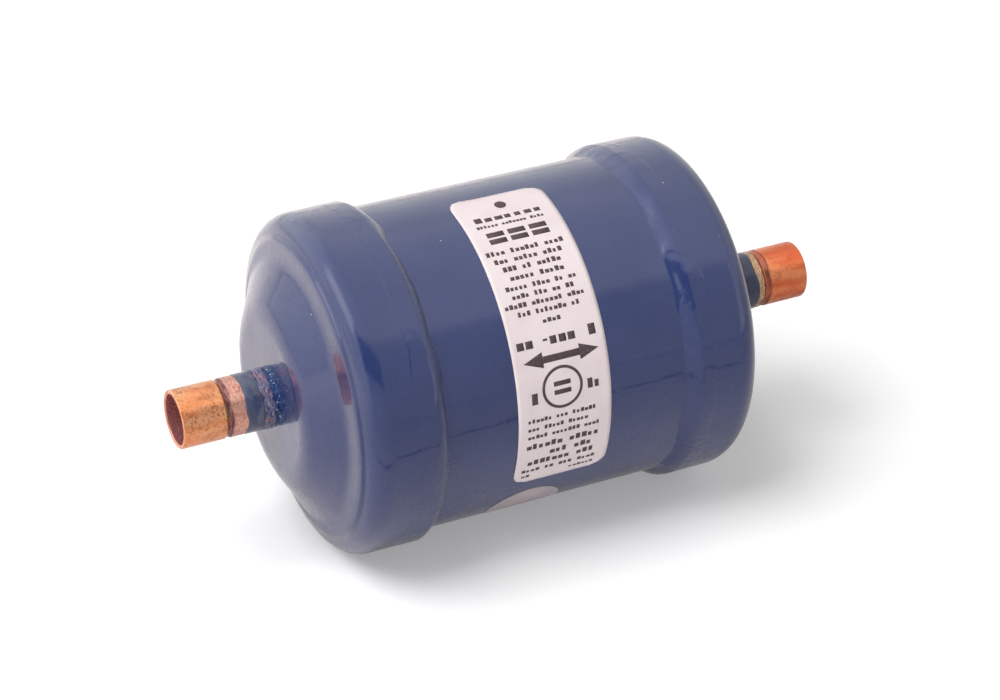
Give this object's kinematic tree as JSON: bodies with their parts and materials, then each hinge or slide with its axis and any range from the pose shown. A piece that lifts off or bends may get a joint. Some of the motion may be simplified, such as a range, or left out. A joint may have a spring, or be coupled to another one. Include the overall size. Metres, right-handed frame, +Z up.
{
  "type": "filter drier",
  "caption": "Two-way refrigerant filter drier: navy painted steel canister with welded end caps, brazed copper ports and a moulded core between check valves.",
  "frame": {"origin": "on the canister's axis at mid-length", "axes": "+X along the axis from the left port to the right port; +Z up, as it lies with the label wrapped over its -Y side"},
  "size_m": [0.1306, 0.0656, 0.0656],
  "materials": {
    "shell_paint": "gloss navy paint",
    "weld_paint": "gloss navy paint over a rippled weld",
    "braze_paint": "thick bubbled navy paint",
    "left_copper": "bright copper with brown speckles",
    "right_copper": "tarnished orange-red copper",
    "label_paper": "matt",
    "sticker_paper": "matt",
    "desiccant": "matt",
    "filter_felt": "matt",
    "plated_steel": "satin",
    "seat_brass": "turned",
    "valve_nylon": "satin",
    "spring_steel": "satin",
    "gasket_rubber": "matt"
  },
  "bodies": {
    "shell": {"shell_tube": "shell_paint", "left_end_cap": "shell_paint", "right_end_cap": "shell_paint", "left_girth_weld": "weld_paint", "right_girth_weld": "weld_paint", "left_braze_fillet": "braze_paint", "right_braze_fillet": "braze_paint", "left_port_fitting": "left_copper", "right_port_fitting": "right_copper", "label": "label_paper", "round_sticker": "sticker_paper", "desiccant_core": "desiccant", "filter_pad": "filter_felt", "centre_tube": "plated_steel", "left_valve_plate": "plated_steel", "right_valve_plate": "plated_steel", "left_outlet_cage": "plated_steel", "right_outlet_cage": "plated_steel", "left_core_cup": "plated_steel", "right_core_cup": "plated_steel", "left_valve_seat": "seat_brass", "right_valve_seat": "seat_brass", "left_outlet_spring": "spring_steel", "right_outlet_spring": "spring_steel", "left_inlet_spring": "spring_steel", "right_inlet_spring": "spring_steel", "left_core_spring": "spring_steel", "right_core_spring": "spring_steel", "left_core_gasket": "gasket_rubber", "right_core_gasket": "gasket_rubber"},
    "left_inlet": {"left_inlet_valve": "valve_nylon"},
    "right_inlet": {"right_inlet_valve": "valve_nylon"},
    "left_outlet": {"left_outlet_valve": "valve_nylon"},
    "right_outlet": {"right_outlet_valve": "valve_nylon"}
  },
  "joints": [
    {"name": "left_inlet_slide", "type": "slide", "parent": "shell", "child": "left_inlet", "axis": [1, 0, 0], "range_m": [0, 0.002], "stiffness_N_per_m": 40, "springref_m": -0.001, "deforming": ["left_inlet_spring"]},
    {"name": "right_inlet_slide", "type": "slide", "parent": "shell", "child": "right_inlet", "axis": [-1, 0, 0], "range_m": [0, 0.002], "stiffness_N_per_m": 40, "springref_m": -0.001, "deforming": ["right_inlet_spring"]},
    {"name": "left_outlet_slide", "type": "slide", "parent": "shell", "child": "left_outlet", "axis": [-1, 0, 0], "range_m": [0, 0.0018], "stiffness_N_per_m": 40, "springref_m": -0.001, "deforming": ["left_outlet_spring"]},
    {"name": "right_outlet_slide", "type": "slide", "parent": "shell", "child": "right_outlet", "axis": [1, 0, 0], "range_m": [0, 0.0018], "stiffness_N_per_m": 40, "springref_m": -0.001, "deforming": ["right_outlet_spring"]}
  ]
}
